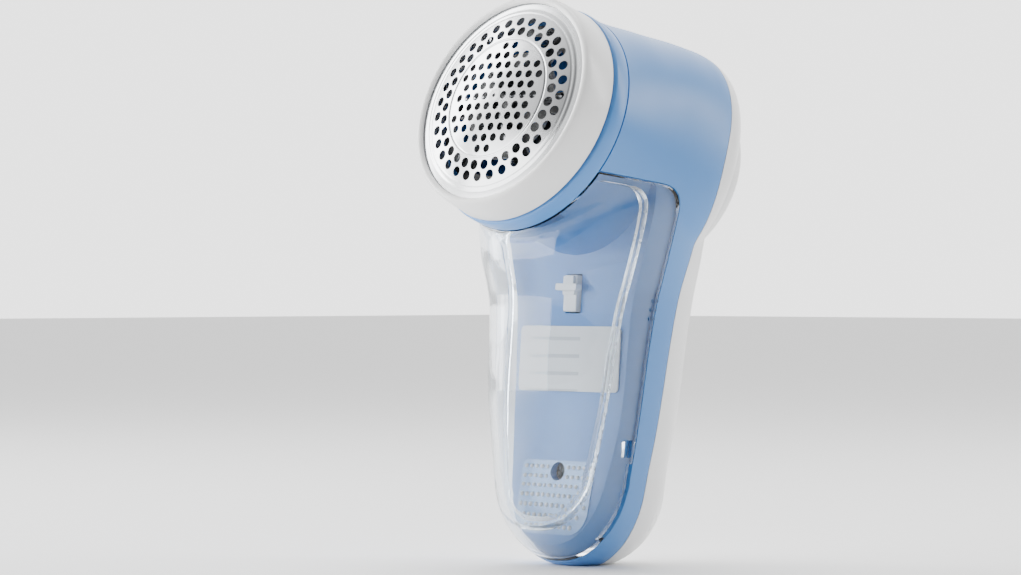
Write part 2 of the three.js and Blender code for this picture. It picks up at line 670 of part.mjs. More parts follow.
place(shaver, 'front_shell', frontShell(), blue);
place(shaver, 'rear_shell', rearShell(), white);
place(shaver, 'rear_cap', rearCap(), white);
place(shaver, 'lint_bin', lintBin(), clear);
place(shaver, 'bin_latch', binLatch(), white);
place(shaver, 'latch_spring', latchSpring(), steel);
place(shaver, 'label_plate', labelPlate(), white);
place(shaver, 'panel_screw', screw().transform(panelScrewMatrix.elements), steel);
place(shaver, 'battery_cell', batteryCell(), material('#3f7f5a', 0.4));
place(shaver, 'battery_holder', batteryHolder(), dark);
place(shaver, 'circuit_board', circuitBoard(), material('#2f6b3f', 0.5));
place(shaver, 'slide_switch', slideSwitch(), steel);
place(shaver, 'switch_slider', switchSlider(), blue);
place(shaver, 'usb_socket', usbSocket(), steel);
place(shaver, 'charge_board', chargeBoard(), material('#2f6b3f', 0.5));
place(shaver, 'indicator_lens', indicatorLens(), material('#f4f4f0', 0.2, 0, 0.7));
place(shaver, 'safety_switch', safetySwitch(), dark);
place(head, 'head_collar', headCollar(), blue);
place(head, 'foil_ring', foilRing(), white);
place(head, 'foil_carrier', foilCarrier(), white);
place(head, 'foil', foil(), steel);
place(head, 'cutter_hub', cutterHub(), white);
for (let i = 0; i < BLADES; i += 1) place(head, `blade_${i + 1}`, blade(i), steel);
place(head, 'cutter_spring', cutterSpring(), steel);
place(head, 'drive_coupler', driveCoupler(), white);
place(head, 'motor_shaft', motorShaft(), steel);
place(head, 'motor_body', motorBody(), steel);
place(head, 'motor_mount', motorMount(), dark);
place(head, 'shaft_seal', shaftSeal(), material('#8a857c', 0.95));
HEAD_SCREWS.forEach(([x, y], i) => {
  place(head, `head_screw_${i + 1}`, screw().rotate([180, 0, 0]).translate([x, y, -HEAD_SCREW_SEAT]), steel);
});

export default shaver;
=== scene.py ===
# %% [markdown]
# A hand-held fabric shaver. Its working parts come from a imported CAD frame, and this
# script dresses them: smooth moulded shells, a clear lint bin, a perforated steel foil.
# The scene is in metres. Most sizes below are in millimetres, and are multiplied by MM.

# %% Load the frame
import math
import bmesh
import bpy
from mathutils import Matrix, Vector


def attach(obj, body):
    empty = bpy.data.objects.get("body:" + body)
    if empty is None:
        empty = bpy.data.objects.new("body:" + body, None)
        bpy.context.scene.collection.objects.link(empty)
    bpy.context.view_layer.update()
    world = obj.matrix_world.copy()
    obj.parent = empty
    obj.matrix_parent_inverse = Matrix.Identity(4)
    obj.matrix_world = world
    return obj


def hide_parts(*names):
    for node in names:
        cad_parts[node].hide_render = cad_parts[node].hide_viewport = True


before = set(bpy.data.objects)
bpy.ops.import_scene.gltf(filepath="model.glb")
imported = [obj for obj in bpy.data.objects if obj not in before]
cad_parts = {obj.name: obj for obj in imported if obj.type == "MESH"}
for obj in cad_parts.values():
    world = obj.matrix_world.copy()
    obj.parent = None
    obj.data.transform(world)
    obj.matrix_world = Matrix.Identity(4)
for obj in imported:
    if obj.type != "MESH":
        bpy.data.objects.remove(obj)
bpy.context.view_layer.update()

MM = 0.001
print("nodes in the frame:", len(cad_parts))

# %% [markdown]
# The head of the shaver is tilted back, so many pieces are easier to think of in the
# head's own frame: Z looks out of the foil, Y runs up across it, and the origin is the
# middle of the foil's rim. One matrix takes such a piece to its place in the body.

# %% The head's frame
HEAD_TILT = math.radians(21.3)
HEAD_CENTRE = Vector((0, -35, 127.1))
to_head = Matrix.Translation(HEAD_CENTRE * MM) @ Matrix.Rotation(math.pi / 2 - HEAD_TILT, 4, "X")


def head_side(behind, above):
    """(Y, Z) in millimetres of a point behind the foil's rim and above the head's axis."""
    y = HEAD_CENTRE.y + behind * math.cos(HEAD_TILT) + above * math.sin(HEAD_TILT)
    z = HEAD_CENTRE.z - behind * math.sin(HEAD_TILT) + above * math.cos(HEAD_TILT)
    return (y, z)


print("the head's axis leaves the back at", head_side(64.5, 0))

# %% [markdown]
# A studio picture of a small pale object wants a pale floor and large soft lights: one at
# the left, one in front, one behind that draws the far edge, and one overhead. The camera
# is far away with a long lens, so that the perspective stays calm. It looks level, from
# the front corner.

# %% Camera, floor and lights
VIEW = math.radians(45)
DISTANCE = 0.92
EYE_HEIGHT = 0.0765
SIDE_STEP = 0.0225
IMAGE_WIDTH = 1021
PIXELS_PER_METRE = 3600
SENSOR = 36
SHAVER_MIDDLE = Vector((0, 0, 0.08))

right = Vector((math.cos(VIEW), math.sin(VIEW), 0))
eye = Vector((math.sin(VIEW), -math.cos(VIEW), 0)) * DISTANCE - right * SIDE_STEP
camera_data = bpy.data.cameras.new("camera")
camera_data.sensor_width = SENSOR
camera_data.lens = PIXELS_PER_METRE * DISTANCE * SENSOR / IMAGE_WIDTH
camera = bpy.data.objects.new("camera", camera_data)
camera.location = eye + Vector((0, 0, EYE_HEIGHT))
camera.rotation_euler = (math.pi / 2, 0, VIEW)
bpy.context.scene.collection.objects.link(camera)
bpy.context.scene.camera = camera
print("lens", round(camera_data.lens, 1), "mm")


def area_light(name, place, size, power):
    """A softbox that looks at the middle of the shaver."""
    data = bpy.data.lights.new(name, "AREA")
    data.shape = "RECTANGLE"
    data.size, data.size_y = size
    data.energy = power
    light = bpy.data.objects.new(name, data)
    light.location = place
    aim = SHAVER_MIDDLE - Vector(place)
    light.rotation_euler = aim.to_track_quat("-Z", "Y").to_euler()
    bpy.context.scene.collection.objects.link(light)


area_light("key", (-0.9, -0.35, 0.4), (0.3, 0.9), 9)
area_light("front", (-0.5, -0.9, 0.12), (0.8, 0.9), 13)
area_light("edge", (0.6, 0.75, 0.5), (0.2, 0.7), 4)
area_light("top", (-0.1, 0.15, 0.9), (0.5, 0.5), 6)

# %% [markdown]
# Every material is built from nodes. One function adds a node, sets what it is given
# and links what is a socket, and another turns a screen colour into linear light.

# %% Node helpers
def linear(code, alpha=1.0):
    """An sRGB hex colour as linear RGBA."""
    parts = [int(code[i:i + 2], 16) / 255 for i in (1, 3, 5)]
    light = [c / 12.92 if c <= 0.04045 else ((c + 0.055) / 1.055) ** 2.4 for c in parts]
    return (*light, alpha)


def add(tree, kind, inputs=None, **settings):
    """One shader node with its settings, and its inputs set or linked."""
    made = tree.nodes.new(kind)
    for name, value in settings.items():
        setattr(made, name, value)
    for name, value in (inputs or {}).items():
        if isinstance(value, bpy.types.NodeSocket):
            tree.links.new(value, made.inputs[name])
        else:
            made.inputs[name].default_value = value
    return made


def new_material(name):
    """An empty node material, its tree and its object coordinates."""
    made = bpy.data.materials.new(name)
    made.use_nodes = True
    made.node_tree.nodes.clear()
    place = add(made.node_tree, "ShaderNodeTexCoord").outputs["Object"]
    return made, made.node_tree, place


def noise(tree, place, scale, detail):
    """A noise of a stated number of waves a metre."""
    return add(tree, "ShaderNodeTexNoise", {"Vector": place, "Scale": scale, "Detail": detail}).outputs["Fac"]


def mixed(tree, factor, first, second):
    """A colour between two screen colours."""
    return add(tree, "ShaderNodeMix", {"Factor": factor, "A": linear(first), "B": linear(second)},
               data_type="RGBA").outputs["Result"]


def spread(tree, value, low, high, start=0.3, end=0.7):
    """A value stretched from one range to another."""
    return add(tree, "ShaderNodeMapRange", {"Value": value, "From Min": start, "From Max": end,
                                            "To Min": low, "To Max": high}).outputs["Result"]


def bumped(tree, height, strength, depth):
    """A surface normal pushed about by a height."""
    return add(tree, "ShaderNodeBump", {"Height": height, "Strength": strength,
                                        "Distance": depth}).outputs["Normal"]


def finish(made, tree, **inputs):
    """Ends a material with one shader, whose input names are written with underscores."""
    named = {name.replace("_", " "): value for name, value in inputs.items()}
    shader = add(tree, "ShaderNodeBsdfPrincipled", named)
    add(tree, "ShaderNodeOutputMaterial", {"Surface": shader.outputs[0]})
    return made


# %% [markdown]
# The world stands in for the white walls of the studio. They are bright behind the shaver
# and dim on the camera's side, so that its polished foil has something darker to reflect
# and its round barrel is modelled by the light. A plain even world would also do, but
# steel in an even white room looks like grey paint.

# %% The studio's walls
BRIGHT_WALL = 2.8
DIM_WALL = 0.3
DIM_SIDE = (0.85, -0.5, 0.2)
DIM_FROM, DIM_TO = -0.6, 0.4
world = bpy.data.worlds.new("studio")
world.use_nodes = True
bpy.context.scene.world = world
walls = world.node_tree
toward = add(walls, "ShaderNodeTexCoord").outputs["Generated"]
facing = add(walls, "ShaderNodeVectorMath", {0: toward, 1: DIM_SIDE}, operation="DOT_PRODUCT")
level = add(walls, "ShaderNodeMapRange", {
    "Value": facing.outputs["Value"], "From Min": DIM_FROM, "From Max": DIM_TO,
    "To Min": BRIGHT_WALL, "To Max": DIM_WALL}, interpolation_type="SMOOTHSTEP")
glow = walls.nodes["Background"]
glow.inputs["Color"].default_value = (1, 1, 1, 1)
walls.links.new(level.outputs["Result"], glow.inputs["Strength"])
print("walls from", DIM_WALL, "to", BRIGHT_WALL)

# %% [markdown]
# Moulded ABS comes out of a tool whose face was spark eroded, so it has a very fine
# grain and a satin gloss. The grain is a few tenths of a millimetre; a slower noise
# gives the faint unevenness of a big moulding, in colour and in gloss.

# %% Moulded plastics
SLOW_WAVES = 35
GRAIN_WAVES = 2600
GRAIN_DEPTH = 0.1 * MM


def moulded(name, colour, shade, rough=(0.3, 0.42), grain=0.05, coat=0.15):
    """Injection-moulded plastic with a fine spark-eroded grain."""
    made, tree, place = new_material(name)
    slow = noise(tree, place, SLOW_WAVES, 3)
    fine = noise(tree, place, GRAIN_WAVES, 2)
    return finish(made, tree, Base_Color=mixed(tree, slow, colour, shade),
                  Roughness=spread(tree, slow, *rough), Normal=bumped(tree, fine, grain, GRAIN_DEPTH),
                  IOR=1.53, Coat_Weight=coat, Coat_Roughness=0.25)


blue_abs = moulded("moulded_blue_abs", "#4B8BD0", "#4584C8")
white_abs = moulded("moulded_white_abs", "#F4F4F3", "#ECEDED", rough=(0.26, 0.36))
black_nylon = moulded("moulded_black_nylon", "#242629", "#1B1D20", rough=(0.45, 0.6), grain=0.12, coat=0.0)
pale_abs = moulded("moulded_pale_abs", "#7FB0E6", "#78A9E0", rough=(0.12, 0.2), coat=0.6)
print("plastics made")

# %% [markdown]
# The cutter's wheel is white acetal, but hardly any light gets to it through the foil, so its face reads dark
# behind the holes. A render lets more light bounce about in there than a real wheel does, so an Ambient
# Occlusion node paints shade into the plastic's colour where something covers it closely: a dark grey painted
# shade that the colour keeps under any lamp.

# %% Acetal with painted shade
SHADOW_REACH = 9 * MM
COVERED = (0.45, 0.85)


def acetal():
    """White acetal with painted shade: dark grey where another piece covers it within a few millimetres."""
    made, tree, place = new_material("acetal_with_painted_shade")
    open_to = add(tree, "ShaderNodeAmbientOcclusion", {"Distance": SHADOW_REACH}, samples=8)
    lit = spread(tree, open_to.outputs["AO"], 0, 1, *COVERED)
    fine = noise(tree, place, GRAIN_WAVES, 2)
    return finish(made, tree, Base_Color=mixed(tree, lit, "#2B2D30", "#EDEEEE"), Roughness=0.42, IOR=1.48,
                  Normal=bumped(tree, fine, 0.05, GRAIN_DEPTH))


wheel_pom_painted_shade = acetal()
print("acetal made")

# %% [markdown]
# The bin is clear polystyrene, polished in the tool. It is nearly invisible face on
# and bright at its edges. It has a trace of blue, and faint flow lines that bend
# the highlights.

# %% Clear plastics
def clear_plastic(name, colour, rough=0.03):
    """Polished clear plastic with the faint waviness of a moulding."""
    made, tree, place = new_material(name)
    flow = noise(tree, place, 60, 1)
    return finish(made, tree, Base_Color=linear(colour), Roughness=rough, Transmission_Weight=1.0, IOR=1.45,
                  Normal=bumped(tree, flow, 0.06, 0.8 * MM))


clear_ps = clear_plastic("clear_polystyrene", "#F3F8FD")
lens_ps = clear_plastic("frosted_lens", "#F2F2EA", rough=0.45)
print("clear plastics made")

# %% [markdown]
# The foil is thin stainless steel, rolled and then polished round and round, so its
# scratches are rings about the middle. The blades are ground across instead, and
# the fasteners and springs are plated.

# %% Metals
SCRATCH_DEPTH = 0.03 * MM


def polished_rings(name, colour):
    """Sheet steel polished in rings about the head's axis."""
    made, tree, place = new_material(name)
    lean = HEAD_TILT - math.pi / 2
    in_head = add(tree, "ShaderNodeMapping", {
        "Vector": place, "Location": -(Matrix.Rotation(lean, 3, "X") @ HEAD_CENTRE) * MM,
        "Rotation": (lean, 0, 0)})
    flat = add(tree, "ShaderNodeVectorMath", {0: in_head.outputs["Vector"], 1: (1, 1, 0)},
               operation="MULTIPLY")
    radius = add(tree, "ShaderNodeVectorMath", {0: flat.outputs["Vector"]}, operation="LENGTH")
    line = add(tree, "ShaderNodeTexNoise", {"W": radius.outputs["Value"], "Scale": 4500, "Detail": 2},
               noise_dimensions="1D")
    patch = noise(tree, place, 60, 2)
    return finish(made, tree, Base_Color=linear(colour), Metallic=1.0,
                  Roughness=spread(tree, patch, 0.16, 0.24),
                  Normal=bumped(tree, line.outputs["Fac"], 0.12, SCRATCH_DEPTH))


def plated(name, colour, rough):
    """Plated or ground steel with short scratches and small uneven patches."""
    made, tree, place = new_material(name)
    drawn = add(tree, "ShaderNodeMapping", {"Vector": place, "Scale": (400, 400, 4000)})
    scratch = noise(tree, drawn.outputs["Vector"], 1, 3)
    return finish(made, tree, Base_Color=linear(colour), Metallic=1.0,
                  Roughness=spread(tree, scratch, rough, rough + 0.15),
                  Normal=bumped(tree, scratch, 0.1, SCRATCH_DEPTH))


foil_steel = polished_rings("polished_stainless_foil", "#CFD1D3")
blade_steel = plated("ground_blade_steel", "#B4B7BB", 0.2)
zinc_steel = plated("zinc_plated_steel", "#C2C5C8", 0.25)
black_steel = plated("blackened_steel", "#3A3C3F", 0.35)
print("metals made")

# %% [markdown]
# The rest is small: a printed film label whose print is only a few plain bars, a
# circuit board, the cell's shrink sleeve, felt, and the painted studio floor.

# %% Small finishes
BAR_SPACING = 4.8 * MM
BAR_THICKNESS = 1.0 * MM
BAR_ENDS = (-15 * MM, 4 * MM)
INK_WEIGHT = 0.45


def simple(name, colour, shade, scale, rough, bump_height, metallic=0.0):
    """A finish that is one colour broken up by a noise of a stated scale."""
    made, tree, place = new_material(name)
    uneven = noise(tree, place, scale, 4)
    return finish(made, tree, Base_Color=mixed(tree, uneven, colour, shade), Roughness=rough,
                  Metallic=metallic, Normal=bumped(tree, uneven, 0.3, bump_height))


def printed_film():
    """White label film with a few plain grey bars, one above another, left of its middle."""
    made, tree, place = new_material("printed_label_film")

    def maths(operation, first, second):
        return add(tree, "ShaderNodeMath", {0: first, 1: second}, operation=operation).outputs["Value"]

    axes = add(tree, "ShaderNodeSeparateXYZ", {"Vector": place}).outputs
    bar = maths("LESS_THAN", maths("PINGPONG", axes["Z"], BAR_SPACING / 2), BAR_THICKNESS / 2)
    across = maths("MULTIPLY", maths("GREATER_THAN", axes["X"], BAR_ENDS[0]),
                   maths("LESS_THAN", axes["X"], BAR_ENDS[1]))
    ink = maths("MULTIPLY", maths("MULTIPLY", bar, across), INK_WEIGHT)
    fibre = noise(tree, place, 1800, 2)
    return finish(made, tree, Base_Color=mixed(tree, ink, "#F3F3F2", "#9AA0A6"), Roughness=0.45,
                  Normal=bumped(tree, fibre, 0.1, 0.05 * MM))


label_film = printed_film()
solder_mask = simple("green_solder_mask", "#1F6B43", "#195A38", 900.0, 0.35, 0.00005)
cell_sleeve = simple("shrink_sleeve", "#2F8A62", "#287A56", 300.0, 0.3, 0.00005)
wool_felt = simple("pressed_wool_felt", "#8F8A80", "#77736A", 1500.0, 0.95, 0.0003)
motor_can = simple("zinc_plated_can", "#B9BCBF", "#A8ABAF", 500.0, 0.35, 0.00003, metallic=1.0)
floor_paint = simple("matt_white_paint", "#FBFBFB", "#F9F9F9", 40.0, 0.7, 0.00002)
print("materials:", len(bpy.data.materials))

# %% [markdown]
# Most pieces are made in a bmesh and then become objects. One function does that: it gives the mesh a
# material, marks the edges that should stay crisp, puts the piece on the CAD body it moves with, and hides
# the CAD nodes it stands for.

# %% From a bmesh to a piece
CRISP = math.radians(32)


def shade(mesh, crisp=CRISP):
    """Smooth shading, but for the edges that turn by more than an angle."""
    bm = bmesh.new()
    bm.from_mesh(mesh)
    for face in bm.faces:
        face.smooth = True
    for edge in bm.edges:
        edge.smooth = len(edge.link_faces) == 2 and edge.calc_face_angle(0) < crisp
    bm.to_mesh(mesh)
    bm.free()


def raw(name, bm):
    """An unfinished object that holds a bmesh."""
    mesh = bpy.data.meshes.new(name)
    bm.to_mesh(mesh)
    bm.free()
    made = bpy.data.objects.new(name, mesh)
    bpy.context.scene.collection.objects.link(made)
    return made


def settle(made):
    """Turns an object's modifiers into its mesh."""
    graph = bpy.context.evaluated_depsgraph_get()
    mesh = bpy.data.meshes.new_from_object(made.evaluated_get(graph))
    made.modifiers.clear()
    made.data = mesh
    return made


def piece(made, material, body, slot, *nodes, crisp=CRISP):
    """Finishes an object as a piece of the shaver."""
    settle(made)
    made.data.materials.clear()
    made.data.materials.append(material)
    shade(made.data, crisp)
    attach(made, body)
    if nodes:
        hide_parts(*nodes)
    print(f"{made.name}: {len(made.data.polygons)} faces on {body}")
    return made


def carve(made, cutter, operation="DIFFERENCE"):
    """Cuts or keeps one closed object by another, and drops the cutter."""
    step = made.modifiers.new("carve", "BOOLEAN")
    step.operation = operation
    step.solver = "MANIFOLD"
    step.object = cutter
    settle(made)
    bpy.data.objects.remove(cutter)
    return made


def twin(made, name):
    """A copy of an object with its own mesh."""
    other = bpy.data.objects.new(name, made.data.copy())
    bpy.context.scene.collection.objects.link(other)
    return other


# %% [markdown]
# The floor is one large flat sheet.

# %% The floor
FLOOR_HALF = 6
sheet = bmesh.new()
bmesh.ops.create_grid(sheet, x_segments=2, y_segments=2, size=FLOOR_HALF)
floor = raw("floor", sheet)
floor.data.materials.append(floor_paint)
print("floor reaches", FLOOR_HALF, "m each way")

# %% [markdown]
# The body is two lofts. The handle's sections are boxy ovals stacked up its height, and
# the barrel's sections are rounder and stacked along the head's axis. Each loft starts
# as a circle that is extruded ring by ring, and each new ring is moved to its section.
# A handle row is its height, the Y of its middle, its half width and its half depth. A
# barrel row is its distance behind the foil's rim, how far its middle is above the
# head's axis, its half width, its half height and how square it is.

# %% Sections of the body
HANDLE = [
    (0, -3.6, 20.9, 22.6), (22, -4.6, 20.8, 22.8), (36, -3.6, 22.2, 24.7), (48, -2.8, 22.9, 26.4),
    (60, -1.6, 23.4, 27.1), (74, 0, 24.5, 28), (86, 0, 27.6, 29.3), (98, 0.6, 30.4, 28.3),
    (108, 2, 30.8, 24.5),
]
BARREL = [
    (15.3, 0, 32, 32, 2), (30, 1.4, 32.4, 33.4, 2.15), (50, 3.3, 33.4, 35.3, 2.35),
    (58, 4.4, 33.2, 34.8, 2.35), (62, 4.8, 31.6, 33.2, 2.25), (64.5, 5, 28.4, 30, 2.2),
]
HANDLE_TOP = HANDLE[-1][0]
HANDLE_SQUARE = 2.6
BARREL_FRONT = BARREL[0][0]
BARREL_BACK = BARREL[-1][0]
BOTTOM_ROUNDING = 22
FOOT_START = 1.4
AROUND = 128
AROUND_SMALL = 32


def section(table, at):
    """A row between the rows of a table, on a smooth curve through them."""
    i = 0
    while i < len(table) - 2 and at > table[i + 1][0]:
        i += 1
    low, high = table[i], table[i + 1]
    before, after = table[max(i - 1, 0)], table[min(i + 2, len(table) - 1)]
    t = (at - low[0]) / (high[0] - low[0])
    weights = (2 * t**3 - 3 * t**2 + 1, t**3 - 2 * t**2 + t, 3 * t**2 - 2 * t**3, t**3 - t**2)
    return [a * weights[0] + (b - p) / 2 * weights[1] + b * weights[2] + (n - a) / 2 * weights[3]
            for p, a, b, n in zip(before[1:], low[1:], high[1:], after[1:])]


def oval(angle, half_x, half_y, square):
    """A point on a boxy oval."""
    x, y = (math.copysign(abs(part) ** (2 / square), part) for part in (math.cos(angle), math.sin(angle)))
    return (x * half_x, y * half_y)


def handle_ring(z, inset, angle):
    """A point of the handle's section at a height, moved in by an inset."""
    centre, width, depth = section(HANDLE, z)
    rise = min((z - inset) * (1 - FOOT_START / BOTTOM_ROUNDING) + FOOT_START, BOTTOM_ROUNDING)
    left = 1 - rise / BOTTOM_ROUNDING
    end = math.sqrt(1 - left * left)
    x, y = oval(angle, (width - inset) * end, (depth - inset) * end, HANDLE_SQUARE)
    return Vector((x, centre + y, z)) * MM


def barrel_ring(behind, inset, angle):
    """A point of the barrel's section at a distance behind the foil's rim."""
    centre, width, height, square = section(BARREL, max(behind, BARREL_FRONT))
    x, y = oval(angle, width - inset, height - inset, square)
    return to_head @ (Vector((x, centre + y, -behind)) * MM)


def loft(stops, place):
    """A closed solid through rings that place() gives for each stop and angle."""
    bm = bmesh.new()
    bmesh.ops.create_circle(bm, segments=AROUND, radius=1)
    angles = [math.atan2(v.co.y, v.co.x) for v in bm.verts]
    ring = list(bm.verts)
    edges = list(bm.edges)
    for vert, angle in zip(ring, angles):
        vert.co = place(stops[0], angle)
    bmesh.ops.contextual_create(bm, geom=edges)
    for stop in stops[1:]:
        order = dict(zip(ring, angles))
        made = bmesh.ops.extrude_edge_only(bm, edges=edges)["geom"]
        new = [item for item in made if isinstance(item, bmesh.types.BMVert)]
        links = {vert: next(edge.other_vert(vert) for edge in vert.link_edges
                            if edge.other_vert(vert) in order) for vert in new}
        ring, angles = new, [order[links[vert]] for vert in new]
        for vert, angle in zip(ring, angles):
            vert.co = place(stop, angle)
        edges = [item for item in made if isinstance(item, bmesh.types.BMEdge)
                 and all(vert in links for vert in item.verts)]
    bmesh.ops.contextual_create(bm, geom=edges)
    bmesh.ops.recalc_face_normals(bm, faces=bm.faces)
    return bm


# %% [markdown]
# A remesh joins the two lofts into one skin, and a little smoothing blends the corner
# between them, as the real moulding is blended. The same form made a little smaller is
# the inside of the shells, so each shell is the big form less the small one.

# %% The body's forms
SKIN_VOXEL = 0.9
BLEND_STEPS = 14
FOOT_STOPS, FOOT_STEP = 12, 0.6
FOOT_TOP = 7.5
STOPS = 30
UNDER_TOP = 0.5
BARREL_START = 9


def handle_form(inset):
    """The handle, with close rings where its foot curves and wide ones above."""
    low = [inset + step * FOOT_STEP for step in range(FOOT_STOPS)]
    tall = HANDLE_TOP - UNDER_TOP - FOOT_TOP - inset
    high = [inset + FOOT_TOP + tall * step / STOPS for step in range(STOPS + 1)]
    return loft(low + high, lambda z, angle: handle_ring(z, inset, angle))


def barrel_form(inset):
    """The barrel, from a little in front of the collar to its back."""
    length = BARREL_BACK - inset - BARREL_START
    return loft([BARREL_START + length * step / STOPS for step in range(STOPS + 1)],
                lambda behind, angle: barrel_ring(behind, inset, angle))


def body_form(name, inset):
    """The whole body as one smooth closed skin, a stated distance in from the outside."""
    both = bmesh.new()
    for part in (handle_form(inset), barrel_form(inset)):
        mesh = bpy.data.meshes.new("part")
        part.to_mesh(mesh)
        part.free()
        both.from_mesh(mesh)
        bpy.data.meshes.remove(mesh)
    made = raw(name, both)
    remesh = made.modifiers.new("join", "REMESH")
    remesh.mode = "VOXEL"
    remesh.voxel_size = SKIN_VOXEL * MM
    soft = made.modifiers.new("blend", "SMOOTH")
    soft.factor = 0.5
    soft.iterations = BLEND_STEPS
    settle(made)
    print(name, "has", len(made.data.polygons), "faces")
    return made


SHELL = 2.0
outer_form = body_form("outer_form", 0)
inner_form = body_form("inner_form", SHELL)

# %% [markdown]
# The shells, the bin and the panel meet along lines that are simplest to draw in the
# side view. A side outline becomes a solid as wide as the body, and the body's form is
# kept inside it or cut away by it. Corners are rounded with short curves.

# %% Side outlines
ACROSS = 60


def rounded(points, radius, corners, steps=8):
    """The points of an outline, with the listed corners rounded."""
    path = []
    for i, point in enumerate(points):
        if i not in corners:
            path.append(Vector(point))
            continue
        here = Vector(point)
        start = here + (Vector(points[i - 1]) - here).normalized() * radius
        end = here + (Vector(points[i + 1]) - here).normalized() * radius
        for step in range(steps + 1):
            t = step / steps
            path.append(start.lerp(here, t).lerp(here.lerp(end, t), t))
    return path


def extruded(ring, travel, triangles=False):
    """A flat outline extruded by a vector, as a bmesh."""
    bm = bmesh.new()
    face = bm.faces.new([bm.verts.new(point) for point in ring])
    grown = bmesh.ops.extrude_face_region(bm, geom=[face])["geom"]
    moved = [item for item in grown if isinstance(item, bmesh.types.BMVert)]
    bmesh.ops.translate(bm, verts=moved, vec=travel)
    if triangles:
        bmesh.ops.triangulate(bm, faces=bm.faces)
    bmesh.ops.recalc_face_normals(bm, faces=bm.faces)
    return bm


def side_solid(name, points):
    """A side outline of (Y, Z) points in millimetres, extruded right across the body."""
    ring = [(-ACROSS * MM, y * MM, z * MM) for y, z in points]
    return raw(name, extruded(ring, (2 * ACROSS * MM, 0, 0), triangles=True))


SEAM = [(-5.5, -5), head_side(55, 0), head_side(55, 60)]
BIN_EDGE = [head_side(15.3, -15), (3.3, 103.6), (1.5, 77), (-2, 57), (-5, 37), (-7, 22), (-9.2, 14.5)]
BIN_TOP = head_side(-20, -15)
BIN_BEND, RIB_BEND = 8, 6
CHIN = 30
BIN_SHOULDER = 90
BIN_EDGE.append((BIN_EDGE[-1][0] - CHIN * math.sin(HEAD_TILT), BIN_EDGE[-1][1] - CHIN * math.cos(HEAD_TILT)))
LINE_GAP = 0.15
BIN_GAP = 0.3
SEAM_BEND = 12
FAR_BACK, FAR_FRONT = 140, -120
FAR_UP, FAR_DOWN = 190, -5


def seam_side(name, far):
    """Everything on one side of the seam, out to a far Y, and short of it by a gap."""
    gap = math.copysign(LINE_GAP, far)
    line = [(y + gap, z) for y, z in rounded(SEAM, SEAM_BEND, [1])]
    return side_solid(name, line + [(far, FAR_UP), (far, FAR_DOWN)])


def bin_side(name, shrink, forward=0):
    """The bin's outline, shrunk by a gap and with its rear edge moved forward."""
    edge = rounded(BIN_EDGE, RIB_BEND if forward else BIN_BEND, [1], 10)
    line = [(y - shrink - forward, z - shrink * (z > BIN_SHOULDER)) for y, z in edge]
    top = BIN_TOP[1] - shrink
    return side_solid(name, [(BIN_TOP[0], top), *line, (FAR_FRONT, BIN_EDGE[-1][1]), (FAR_FRONT, top)])


def behind_collar(name, distance):
    """Everything behind a plane across the head's axis."""
    half = 0.12
    bm = bmesh.new()
    place = to_head @ Matrix.Translation((0, 0, -half - distance * MM))
    bmesh.ops.create_cube(bm, size=2 * half, matrix=place)
    return raw(name, bm)


def cylinder(name, radius, length, place, sides):
    """A cylinder about the Z axis of a place."""
    bm = bmesh.new()
    bmesh.ops.create_cone(bm, cap_ends=True, segments=sides, radius1=radius * MM, radius2=radius * MM,
                          depth=length * MM, matrix=place)
    return raw(name, bm)


def head_cylinder(name, radius, front, back):
    """A cylinder about the head's axis."""
    place = to_head @ Matrix.Translation((0, 0, -(front + back) / 2 * MM))
    return cylinder(name, radius, back - front, place, AROUND)


def cylinder_y(name, radius, y_low, y_high, z):
    """A cylinder along Y, in the middle of the body."""
    middle = Vector((0, (y_low + y_high) / 2, z)) * MM
    place = Matrix.Translation(middle) @ Matrix.Rotation(math.pi / 2, 4, "X")
    return cylinder(name, radius, y_high - y_low, place, AROUND_SMALL)


print("the bin's edge has", len(BIN_EDGE), "points")

# %% [markdown]
# The shells come first. The rear shell is everything behind the seam, less the inside.
# The front shell is everything in front of it, less the bin's outline. Both start just
# behind the collar.

# %% Outer shells
CAVITY_FRONT = 24
OVERCUT = 0.001
carve(outer_form, behind_collar("cut", BARREL_FRONT), "INTERSECT")
carve(inner_form, behind_collar("cut", CAVITY_FRONT), "INTERSECT")
skin = carve(twin(outer_form, "skin"), twin(inner_form, "inside"))

rear_shell = carve(twin(skin, "rear_housing"), seam_side("cut", FAR_BACK), "INTERSECT")
front_shell = carve(twin(skin, "front_housing"), seam_side("cut", FAR_FRONT), "INTERSECT")
carve(front_shell, bin_side("cut", -OVERCUT))

# %% [markdown]
# The rear shell carries the thumb switch, the charging port and the lamp. They are
# openings in its wall, and the switch sits on a slightly raised pad.

# %% Openings in the rear shell
SWITCH_HEIGHT = 67
SWITCH_LEAN = math.radians(9.6)
SWITCH_FACE = 0.9
SWITCH_TRAVEL = 8
PAD_X, PAD_Z = 8.5, 15
SLOT_X, SLOT_ROOM = 2.4, 4.8
PORT_HEIGHT = 15
PORT_X, PORT_Z = 5, 2.1
LAMP_HEIGHT = 48
LAMP_RADIUS = 1.9
centre_y, _, depth_y = section(HANDLE, SWITCH_HEIGHT)
to_switch = Matrix.Translation(Vector((0, centre_y + depth_y, SWITCH_HEIGHT)) * MM) @ Matrix.Rotation(
    -SWITCH_LEAN, 4, "X")


